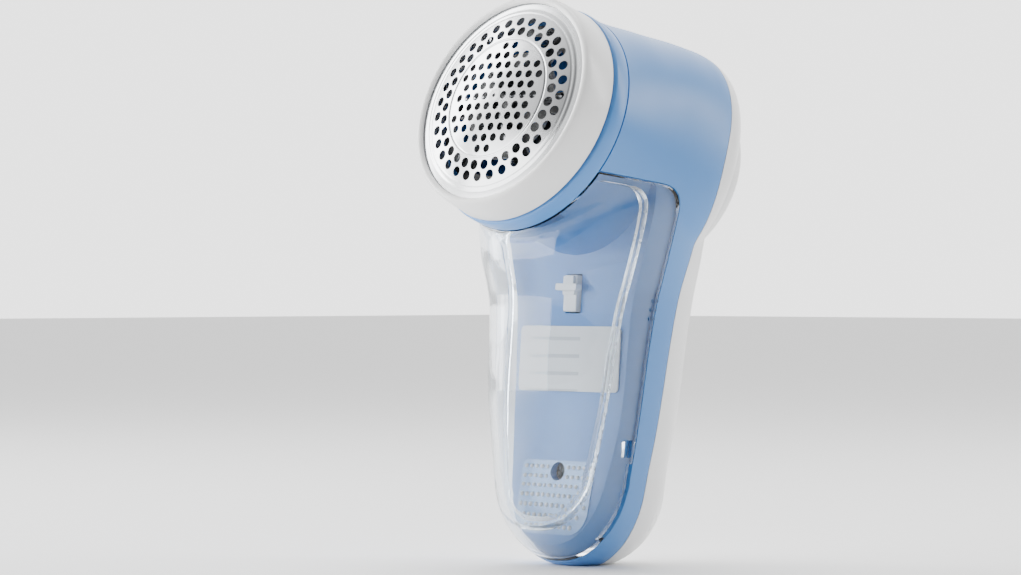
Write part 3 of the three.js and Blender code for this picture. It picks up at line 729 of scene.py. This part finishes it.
def rounded_box(name, low, high, radius, place=Matrix.Identity(4), axis=1, segments=4):
    """A box whose four edges along one axis are rounded."""
    bm = bmesh.new()
    size = [b - a for a, b in zip(low, high)]
    middle = [(a + b) / 2 for a, b in zip(low, high)]
    bmesh.ops.create_cube(bm, size=1)
    bmesh.ops.scale(bm, vec=Vector(size) * MM, verts=bm.verts)
    bmesh.ops.translate(bm, vec=Vector(middle) * MM, verts=bm.verts)
    along = [e for e in bm.edges if abs((e.verts[0].co - e.verts[1].co)[axis]) > 1e-7]
    bmesh.ops.bevel(bm, geom=along, offset=radius * MM, offset_type="OFFSET", affect="EDGES",
                    segments=segments, profile=0.5, material=-1, clamp_overlap=True)
    bmesh.ops.transform(bm, matrix=place, verts=bm.verts)
    return raw(name, bm)


pad = rounded_box("pad", (-PAD_X, -2.6, -PAD_Z), (PAD_X, SWITCH_FACE, PAD_Z), 6, to_switch, segments=10)
carve(rear_shell, pad, "UNION")
slot_end = SLOT_ROOM + SWITCH_TRAVEL / 2
carve(rear_shell, rounded_box("slot", (-SLOT_X, -12, -slot_end), (SLOT_X, 10, slot_end), 2.2, to_switch))
carve(rear_shell, rounded_box("port", (-PORT_X, 5, PORT_HEIGHT - PORT_Z),
                              (PORT_X, 40, PORT_HEIGHT + PORT_Z), 2))
carve(rear_shell, cylinder_y("lamp", LAMP_RADIUS, 0, 40, LAMP_HEIGHT))
piece(rear_shell, white_abs, "housing", "white_abs", "rear_shell")

# %% [markdown]
# Some shapes are needed more than once: an arc of a profile, and a flat outline that is
# extruded along Y with its edges eased, because no moulded edge is ever quite sharp.

# %% Arcs and plates
def arc(centre, radius, start, end, steps):
    """Points of an arc in a profile, with its angles in degrees."""
    turns = [math.radians(start + (end - start) * i / steps) for i in range(steps + 1)]
    return [(centre[0] + radius * math.cos(t), centre[1] + radius * math.sin(t)) for t in turns]


PANEL_Y = -13
PANEL_LEAN = 0.08
PANEL_BEND = 40
TOE_LEAN = 0.23
SHARP = math.radians(50)
to_panel = Matrix.Translation((0, PANEL_Y * MM, 0)) @ Matrix.Rotation(-math.atan(PANEL_LEAN), 4, "X")


def panel_y(z):
    """The panel's Y at a height: below its bend it comes forward faster."""
    return PANEL_Y + PANEL_LEAN * z - (TOE_LEAN - PANEL_LEAN) * max(PANEL_BEND - z, 0)


def eased(made, width, segments, angle):
    """Rounds the edges of an object that turn by more than an angle."""
    ease = made.modifiers.new("ease", "BEVEL")
    ease.width = width * MM
    ease.segments = segments
    ease.limit_method = "ANGLE"
    ease.angle_limit = angle


def plate(name, outline, y_low, y_high, place, ease=0.2):
    """An (X, Z) outline extruded along Y, with its edges eased."""
    ring = [(x * MM, y_low * MM, z * MM) for x, z in outline]
    bm = extruded(ring, (0, (y_high - y_low) * MM, 0))
    if ease:
        sharp = [edge for edge in bm.edges if edge.calc_face_angle(0) > SHARP]
        bmesh.ops.bevel(bm, geom=sharp, offset=ease * MM, offset_type="OFFSET", affect="EDGES",
                        segments=3, profile=0.5, material=-1, clamp_overlap=True)
    bmesh.ops.transform(bm, matrix=place, verts=bm.verts)
    return raw(name, bm)


LATCH_HALF, LATCH_LOW, LATCH_HIGH = 2.45, 70, 80.2


def latch_outline(grow):
    """The latch's upright plate, grown all round."""
    half, low, high = LATCH_HALF + grow, LATCH_LOW - grow, LATCH_HIGH + grow
    return [(-half, low), (half, low), (half, high), (-half, high)]


def round_corners(half_x, low_z, high_z, radius, steps=6):
    """A rectangle's outline with round corners."""
    middles = [(half_x - radius, high_z - radius, 0), (radius - half_x, high_z - radius, 90),
               (radius - half_x, low_z + radius, 180), (half_x - radius, low_z + radius, 270)]
    return [point for x, z, start in middles for point in arc((x, z), radius, start, start + 90, steps)]


# %% [markdown]
# Behind the bin the front shell steps in: the bin's wall covers it at the sides, and a
# panel faces forward, with a soft bend where it comes forward at its foot. The barrel
# goes on above it as a smaller cylinder. On a real shaver they are one moulding with the
# blue outside, so here they are pieces of their own with the same finish.

# %% The panel and the barrel under the bin
PANEL = [(panel_y(z), z) for z in (-20, PANEL_BEND, 180)]
INSET = 2.3
CHAMBER = 26.2
UNDER_BARREL = 28.2
UNDER_BACK = 50
TUCK = 1.2
PLAY = 0.05
LATCH_ROOM = 0.4
SCREW_HEIGHT = 26
SCREW_HOLE = 2.6
BACK_BLOCK = [(150, 180), (150, -20)]
LINT_WINDOW = Vector((26, 30, 4.7))
LINT_WINDOW_MIDDLE = Vector((0, -25, -19))


def screw_hole():
    """What is cut away around the panel's screw."""
    return cylinder_y("screw_hole", SCREW_HOLE, -30, -9, SCREW_HEIGHT)


carve(front_shell, head_cylinder("chamber", CHAMBER, 0, CAVITY_FRONT - SHELL))
panel = raw("panel_moulding", handle_form(INSET))
carve(panel, side_solid("behind_panel", rounded(PANEL, 12, [1]) + BACK_BLOCK), "INTERSECT")
carve(panel, bin_side("in_bin", -TUCK), "INTERSECT")
carve(panel, seam_side("in_front", FAR_FRONT), "INTERSECT")
carve(panel, behind_collar("behind", BARREL_FRONT + PLAY), "INTERSECT")
hollow = raw("hollow", handle_form(INSET + SHELL))
carve(hollow, side_solid("behind_wall", [(y + SHELL, z) for y, z in PANEL] + BACK_BLOCK), "INTERSECT")
carve(panel, hollow)
carve(panel, plate("latch_hole", latch_outline(LATCH_ROOM), -8, 6, to_panel, 0))
carve(panel, screw_hole())
eased(panel, 0.8, 3, SHARP)
piece(panel, blue_abs, "housing", "blue_abs")

barrel_under = head_cylinder("barrel_under_bin", UNDER_BARREL, BARREL_FRONT + PLAY, UNDER_BACK)
carve(barrel_under, head_cylinder("hole", CHAMBER, 0, UNDER_BACK - 0.5))
carve(barrel_under, bin_side("in_bin", -TUCK), "INTERSECT")
window = bmesh.new()
window_place = to_head @ Matrix.Translation(LINT_WINDOW_MIDDLE * MM)
bmesh.ops.create_cube(window, size=1, matrix=window_place @ Matrix.Diagonal((*(LINT_WINDOW * MM), 1)))
carve(barrel_under, raw("window", window))
piece(barrel_under, blue_abs, "housing", "blue_abs")
piece(front_shell, blue_abs, "housing", "blue_abs", "front_shell")

# %% [markdown]
# The bin is the outer form inside the bin's outline, less the same form made smaller by
# the wall. A thin rib runs inside it, a little forward of its rear edge, which stiffens
# it and locates it on the shell.

# %% The lint bin
BIN_WALL = 1.7
RIB_DEPTH = 1.5
RIB_FROM, RIB_TO = 10.5, 11.9
RIB_BEHIND = 4
bin_inside = body_form("bin_inside", BIN_WALL)
bin_shell = twin(outer_form, "lint_bin_shell")
carve(bin_shell, behind_collar("cut", BARREL_FRONT + BIN_GAP), "INTERSECT")
carve(bin_shell, bin_side("cut", BIN_GAP), "INTERSECT")
rib_inside = body_form("rib_inside", BIN_WALL + RIB_DEPTH)
rib = carve(twin(bin_inside, "rib"), rib_inside)
carve(rib, bin_side("cut", BIN_GAP, RIB_FROM), "INTERSECT")
carve(rib, bin_side("cut", BIN_GAP, RIB_TO))
carve(rib, behind_collar("cut", BARREL_FRONT + RIB_BEHIND), "INTERSECT")
carve(bin_shell, bin_inside)
print("bin shell:", len(bin_shell.data.polygons), "faces")

# %% [markdown]
# The bin is held by a few small features at its rear edge: a window on each side that
# snaps over the body, three short lugs above it that key into the seam, and a wider gap
# below, where a finger nail can get behind the bin to pull it off.

# %% The bin's catches
WINDOW = (30.2, 35)
WINDOW_FRONT, WINDOW_BACK = 4.2, 1.4
WINDOW_NEAR, WINDOW_FAR = 17, 25
FINGER_GAP = (8.5, 28.5)
FINGER_ROOM = 1.1
LUGS = (68, 70.4, 72.8)
LUG_LENGTH, LUG_HALF = 2.4, 0.45
LUG_ROOT, LUG_PROUD = 1, 0.35


def between(side, near, far):
    """Two distances from the middle, as X on one side, the lower one first."""
    return sorted((side * near, side * far))


def edge_y(z):
    """The Y of the bin's outline at a height."""
    spans = zip(BIN_EDGE[1:], BIN_EDGE[2:])
    return next(y_low + (y_high - y_low) * (z - low) / (high - low)
                for (y_high, high), (y_low, low) in spans if low <= z <= high)


def side_x(y, z):
    """How far out the handle's side is at a place in the side view."""
    centre, width, depth = section(HANDLE, z)
    return width * (1 - abs((y - centre) / depth) ** HANDLE_SQUARE) ** (1 / HANDLE_SQUARE)


stops = (FINGER_GAP[1], BIN_EDGE[5][1], BIN_EDGE[6][1], FINGER_GAP[0])
near = [(edge_y(z) - BIN_GAP - FINGER_ROOM, z) for z in stops]
far = [(edge_y(z) + 2, z) for z in reversed(stops)]
carve(bin_shell, side_solid("finger_gap", near + far))
for side in (-1, 1):
    y = edge_y(sum(WINDOW) / 2)
    low, high = between(side, WINDOW_NEAR, WINDOW_FAR)
    opening = rounded_box("window", (low, y - WINDOW_FRONT, WINDOW[0]), (high, y - WINDOW_BACK, WINDOW[1]),
                          0.5, axis=0)
    carve(bin_shell, opening)
    for z in LUGS:
        y = edge_y(z) - BIN_GAP
        reach = side_x(y - 1, z)
        low, high = between(side, reach - LUG_ROOT, reach + LUG_PROUD)
        lug = rounded_box("lug", (low, y - LUG_LENGTH, z - LUG_HALF), (high, y, z + LUG_HALF), 0.2, axis=0)
        carve(bin_shell, lug, "UNION")
piece(bin_shell, clear_ps, "bin", "clear_bin", "lint_bin")
piece(rib, clear_ps, "bin", "clear_bin")

for form in (outer_form, inner_form, skin):
    bpy.data.objects.remove(form)

# %% [markdown]
# The ring, the collar and the cap are round about the head's axis. A profile is drawn
# once, as a chain of points, and spun all the way round. The ring's front lip is
# rolled over, which catches a fine line of light.

# %% Spun pieces
AROUND_HEAD = 160
MERGE = 1e-6
SOFT_CREASE = math.radians(50)
CAP_LIFT = 5
CAP_CROWN, CAP_SAG, CAP_SPREAD, CAP_SQUARE = 73.45, 1.75, 23, 2.6


def spun(name, profile):
    """A closed profile of (radius, height) points in millimetres, spun about the head's axis."""
    bm = bmesh.new()
    verts = [bm.verts.new((radius * MM, 0, height * MM)) for radius, height in profile]
    edges = [bm.edges.new(pair) for pair in zip(verts, verts[1:] + verts[:1])]
    bmesh.ops.spin(bm, geom=verts + edges, axis=(0, 0, 1), cent=(0, 0, 0), angle=2 * math.pi,
                   steps=AROUND_HEAD, use_merge=True)
    bmesh.ops.remove_doubles(bm, verts=bm.verts, dist=MERGE)
    bmesh.ops.transform(bm, matrix=to_head, verts=bm.verts)
    bmesh.ops.recalc_face_normals(bm, faces=bm.faces)
    return raw(name, bm)


rolled_lip = arc((29.75, 0.0), 1.1, 165, 20, 12)
ring_profile = [(29.6, -0.3), *rolled_lip, (31.05, -1.4), (31.5, -8.9), (31.4, -9.2), (31.1, -9.3),
                (30.1, -9.3)]
piece(spun("ring_shell", ring_profile), white_abs, "ring", "white_abs", "foil_ring", crisp=SOFT_CREASE)

collar_profile = [(27, -15), (31.75, -15), (31.95, -14.85), (32, -14.6), (32, -10.5), (31.85, -10.15),
                  (31.5, -9.95), (27, -9.95)]
piece(spun("collar_band", collar_profile), blue_abs, "housing", "blue_abs", "head_collar", crisp=SOFT_CREASE)

crown = [(r, -CAP_CROWN + CAP_SAG * (r / CAP_SPREAD) ** CAP_SQUARE) for r in (20, 16, 12, 8, 4, 0.001)]
cap_profile = [(25, -63), (26.7, -63), (26.8, -67), *arc((22.3, -67.2), 4.5, 0, -78, 10),
               *crown, (0.001, -71.6), (22, -69.8), (25, -67)]
cap = spun("rear_dome", cap_profile)
cap.data.transform(Matrix.Translation(to_head.to_3x3() @ Vector((0, CAP_LIFT, 0)) * MM))
carve(cap, raw("handle_cut", handle_form(-0.3)))
piece(cap, white_abs, "housing", "white_abs", "rear_cap", crisp=math.radians(40))

# %% [markdown]
# The foil is where the eye goes, so its holes are real. Two staggered rings of 32 holes
# run round the edge, and a honeycomb of smaller ones fills the middle. The circles are
# drawn flat, the steel between them is filled in, and then the sheet is domed.

# %% The perforated foil
FOIL_RIM = 28.35
FOIL_RISE = 3.5
RING_HOLES = 32
OUTER_RING = 22.75
INNER_RING = 19.65
RING_HOLE = 1.4
GROOVE = 17.3
COMB_PITCH = 3.5
COMB_HOLE = 1.16
SMALLEST_HOLE = 0.5
STEEL_AT_GROOVE = 0.9
COMB_START = 2.6
SHEET = 0.25
SMALL_SIDES = 20
AROUND_FOIL = 128
BALL = (FOIL_RIM**2 + FOIL_RISE**2) / (2 * FOIL_RISE)
OUTER_PLAIN, INNER_PLAIN, COMB_PLAIN, BOSS_PLAIN = 24.7, GROOVE + 0.55, GROOVE - 0.55, 2.3
FLATS = ((BOSS_PLAIN, COMB_PLAIN), (INNER_PLAIN, OUTER_PLAIN))
CLEAR = 0.05
LYING = 0.85


def dome(radius):
    """The foil's height at a distance from its middle."""
    return FOIL_RISE - BALL + math.sqrt(BALL**2 - radius**2)


def hole_list():
    """(x, y, radius) of the honeycomb's holes, smaller where the groove clips it."""
    found = []
    for row in range(-5, 6):
        for step in range(-6, 7):
            x = (step + 0.5 * (row % 2)) * COMB_PITCH
            y = row * COMB_PITCH * math.sqrt(3) / 2
            away = math.hypot(x, y)
            room = GROOVE - STEEL_AT_GROOVE - away
            if away > COMB_START and room > SMALLEST_HOLE:
                found.append((x, y, min(COMB_HOLE, room)))
    return found


def circle(bm, radius, x=0.0, y=0.0, sides=SMALL_SIDES):
    """The edges of a circle in the foil's plane."""
    made = bmesh.ops.create_circle(bm, segments=sides, radius=radius * MM,
                                   matrix=Matrix.Translation((x * MM, y * MM, 0)))
    return list({edge for vert in made["verts"] for edge in vert.link_edges})


def fill(bm, near, far, holes):
    """Flat steel between two circles, but for the holes in it."""
    edges = circle(bm, far, sides=AROUND_FOIL) + circle(bm, near, sides=AROUND_FOIL) + holes
    bmesh.ops.triangle_fill(bm, use_beauty=True, use_dissolve=False, edges=edges)


def band(bm, radii):
    """A plain band of the sheet: a chain of points spun all the way round."""
    verts = [bm.verts.new((0, radius * MM, 0)) for radius in radii]
    edges = [bm.edges.new(pair) for pair in zip(verts, verts[1:])]
    bmesh.ops.spin(bm, geom=verts + edges, axis=(0, 0, 1), cent=(0, 0, 0), angle=2 * math.pi,
                   steps=AROUND_FOIL, use_merge=True)


def perforated_foil():
    """The whole foil as one sheet without thickness, at its place in the head."""
    bm = bmesh.new()
    holes = []
    for i in range(RING_HOLES):
        for radius, shift in ((OUTER_RING, 0), (INNER_RING, 0.5)):
            turn = (i + shift) * 2 * math.pi / RING_HOLES
            holes += circle(bm, RING_HOLE, radius * math.cos(turn), radius * math.sin(turn))
    fill(bm, INNER_PLAIN, OUTER_PLAIN, holes)
    comb = [edge for x, y, radius in hole_list() for edge in circle(bm, radius, x, y)]
    fill(bm, BOSS_PLAIN, COMB_PLAIN, comb)
    band(bm, (INNER_PLAIN, GROOVE + 0.3, GROOVE, GROOVE - 0.3, COMB_PLAIN))
    band(bm, (OUTER_PLAIN, 25, 25.3, 25.6, 26.4, 26.7, 27, FOIL_RIM, 29.4))
    band(bm, (BOSS_PLAIN, 2.0, 1.7, 0.55))
    bmesh.ops.remove_doubles(bm, verts=bm.verts, dist=MERGE)
    pressed = {round(GROOVE + 0.3, 2): 0.0, round(GROOVE, 2): -0.16, round(GROOVE - 0.3, 2): 0.0,
               25.3: -0.1, 26.7: -0.1, 2.0: 0.2, 1.7: 0.35, 0.55: 0.35}
    for vert in bm.verts:
        radius = math.hypot(vert.co.x, vert.co.y) / MM
        height = dome(min(radius, FOIL_RIM)) + pressed.get(round(radius, 2), 0.0)
        vert.co.z = min(height, FOIL_RISE) * MM
    bmesh.ops.transform(bm, matrix=to_head, verts=bm.verts)
    bmesh.ops.recalc_face_normals(bm, faces=bm.faces)
    outwards = to_head.to_3x3() @ Vector((0, 0, 1))
    if sum(face.normal.dot(outwards) for face in bm.faces) < 0:
        bmesh.ops.reverse_faces(bm, faces=bm.faces)
    return bm


foil = raw("foil_sheet", perforated_foil())
thick = foil.modifiers.new("sheet", "SOLIDIFY")
thick.thickness = SHEET * MM
thick.offset = -1
piece(foil, foil_steel, "foil_unit", "steel_foil", "foil", crisp=math.radians(40))


def true_dome(mesh):
    """Gives the flats a true dome's normals, so the long triangles between holes don't show."""
    back = to_head.inverted()
    middle = to_head @ (Vector((0, 0, FOIL_RISE - BALL)) * MM)
    axis = to_head.to_3x3() @ Vector((0, 0, 1))
    normals = []
    for face in mesh.polygons:
        lean = face.normal.dot(axis)
        for corner in face.loop_indices:
            place = mesh.vertices[mesh.loops[corner].vertex_index].co
            local = back @ place
            radius = math.hypot(local.x, local.y) / MM
            holed = any(near + CLEAR < radius < far - CLEAR for near, far in FLATS)
            outwards = (place - middle).normalized() * math.copysign(1, lean)
            on_face = abs(lean) > LYING
            normals.append(outwards if holed and on_face else mesh.corner_normals[corner].vector.copy())
    mesh.normals_split_custom_set(normals)


true_dome(foil.data)
print("holes in the foil:", 2 * RING_HOLES + len(hole_list()) + 1)

# %% [markdown]
# Two small fittings sit on the panel: the latch, which is an upright plate with a ledge
# across it, and a label.

# %% Fittings on the panel
LEDGE_HALF, LEDGE_LOW, LEDGE_HIGH = 3.9, 75.8, 77.7
LABEL_HALF, LABEL_LOW, LABEL_HIGH, LABEL_CORNER = 18.5, 48, 66, 1.2
latch = plate("latch_tab", latch_outline(0), -1.5, 2.2, to_panel, 0.3)
ledge = rounded_box("ledge", (-LEDGE_HALF, -3.4, LEDGE_LOW), (LEDGE_HALF, -1.1, LEDGE_HIGH), 0.4, to_panel)
lip = rounded_box("lip", (-1.9, -2.5, LEDGE_HIGH - 0.3), (1.9, -1.2, LATCH_HIGH - 0.3), 0.4, to_panel)
foot = rounded_box("foot", (-2.2, -2.2, LEDGE_LOW - 1.2), (2.2, -1.2, LEDGE_LOW + 0.3), 0.4, to_panel)
for part in (ledge, lip, foot):
    carve(latch, part, "UNION")
piece(latch, white_abs, "latch", "white_abs", "bin_latch")
label_outline = round_corners(LABEL_HALF, LABEL_LOW, LABEL_HIGH, LABEL_CORNER)
label = plate("label_film_plate", label_outline, -0.7, -0.3, to_panel, 0.05)
piece(label, label_film, "housing", "label", "label_plate")

# %% [markdown]
# At the foot of the panel is a pad of small raised dots. The dots are white plastic, a painted highlight
# standing for the glints on the bumps. The pad follows the panel's bend, and its two lower corners are
# rounder than the upper ones.

# %% The grip pad
PAD_LOW, PAD_HIGH, PAD_HALF = 9.5, 29, 13.3
DOT_ROWS, DOT_COLUMNS = 7, 13
DOT = 0.6
PAD_PROUD, PAD_THICK = 0.35, 0.55
UPPER_CORNER, LOWER_CORNER = 1.5, 6
MARGIN_X, MARGIN_Z = 1.5, 1.8
SCREW_CLEAR = 3.2


def dot_pad():
    """A thin backing with round corners that follows the foot of the panel."""
    upper = round_corners(PAD_HALF, PAD_LOW, PAD_HIGH, UPPER_CORNER)
    lower = round_corners(PAD_HALF, PAD_LOW, PAD_HIGH, LOWER_CORNER)
    outline = [(x, z) for x, z in upper if z > PAD_HIGH - 2] + [(x, z) for x, z in lower if z < PAD_LOW + 7]
    ring = [(x * MM, (panel_y(z) - PAD_PROUD) * MM, z * MM) for x, z in outline]
    return carve(raw("dot_pad", extruded(ring, (0, PAD_THICK * MM, 0))), screw_hole())


def grip_dots_painted_highlight():
    """Rows of small raised dots, white as a painted highlight, but for those in the way of the screw and the
    corners.
    """
    bm = bmesh.new()
    for row in range(DOT_ROWS):
        z = PAD_LOW + MARGIN_Z + row * (PAD_HIGH - PAD_LOW - 2 * MARGIN_Z) / (DOT_ROWS - 1)
        for column in range(DOT_COLUMNS):
            x = -PAD_HALF + MARGIN_X + column * (2 * PAD_HALF - 2 * MARGIN_X) / (DOT_COLUMNS - 1)
            by_screw = math.hypot(x, z - SCREW_HEIGHT) < SCREW_CLEAR
            off_corner = abs(x) > PAD_HALF - 1 - max(PAD_LOW + LOWER_CORNER - z, 0)
            if by_screw or off_corner:
                continue
            place = Matrix.Translation(Vector((x, panel_y(z) - PAD_PROUD, z)) * MM)
            bmesh.ops.create_uvsphere(bm, u_segments=10, v_segments=6, radius=DOT * MM, matrix=place)
    return raw("grip_dots_painted_highlight", bm)


piece(dot_pad(), pale_abs, "housing", "blue_abs")
# The dots' white colour is a painted highlight.
piece(grip_dots_painted_highlight(), white_abs, "housing", "white_abs")

# %% [markdown]
# The thumb switch is a low rounded button with grip ribs. It runs on the raised pad, and
# its stem goes through the slot to the electrical switch on the board.

# %% The thumb switch
REST_STEP = -SWITCH_TRAVEL / 2
THUMB_X, THUMB_Z = 6, 8.6
STEM_X, STEM_Z = 2.1, 4.5
GRIP_PITCH = 3


def thumb_switch():
    """The button at its off position, with its stem and grip ribs."""
    face = SWITCH_FACE + 0.3
    body = rounded_box("thumb_button", (-THUMB_X, face, REST_STEP - THUMB_Z),
                       (THUMB_X, face + 1.3, REST_STEP + THUMB_Z), 2.5, to_switch, segments=8)
    stem = rounded_box("stem", (-STEM_X, -3.6, REST_STEP - STEM_Z), (STEM_X, face + 0.2, REST_STEP + STEM_Z),
                       1.9, to_switch)
    carve(body, stem, "UNION")
    for i in range(-2, 3):
        middle = REST_STEP + i * GRIP_PITCH
        bar = rounded_box("bar", (-4.4, face + 0.9, middle - 0.55), (4.4, face + 2, middle + 0.55), 0.5,
                          to_switch, axis=0)
        carve(body, bar, "UNION")
    eased(body, 0.2, 2, math.radians(60))
    return body


piece(thumb_switch(), blue_abs, "switch", "blue_abs", "switch_slider")

# %% [markdown]
# The parts inside are mostly hidden, and their CAD shapes are right as they are. They keep their own meshes
# and only get the finish of what they are made of, though the acetal's finish has painted shade.

# %% Finishes for the parts that stay
BLADE_COUNT = 6
finishes = {
    # The acetal parts get the acetal whose colour has painted shade where it is covered.
    wheel_pom_painted_shade: ["cutter_hub", "drive_coupler", "foil_carrier"],
    blade_steel: [f"blade_{i + 1}" for i in range(BLADE_COUNT)],
    zinc_steel: ["motor_shaft", "cutter_spring", "latch_spring", "usb_socket", "slide_switch"],
    black_steel: ["panel_screw", "head_screw_1", "head_screw_2"],
    motor_can: ["motor_body"],
    cell_sleeve: ["battery_cell"],
    black_nylon: ["motor_mount", "battery_holder", "safety_switch"],
    solder_mask: ["circuit_board", "charge_board"],
    wool_felt: ["shaft_seal"],
    lens_ps: ["indicator_lens"],
}
for material, nodes in finishes.items():
    for node in nodes:
        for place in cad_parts[node].material_slots:
            place.material = material
print("finished nodes:", sum(len(nodes) for nodes in finishes.values()))
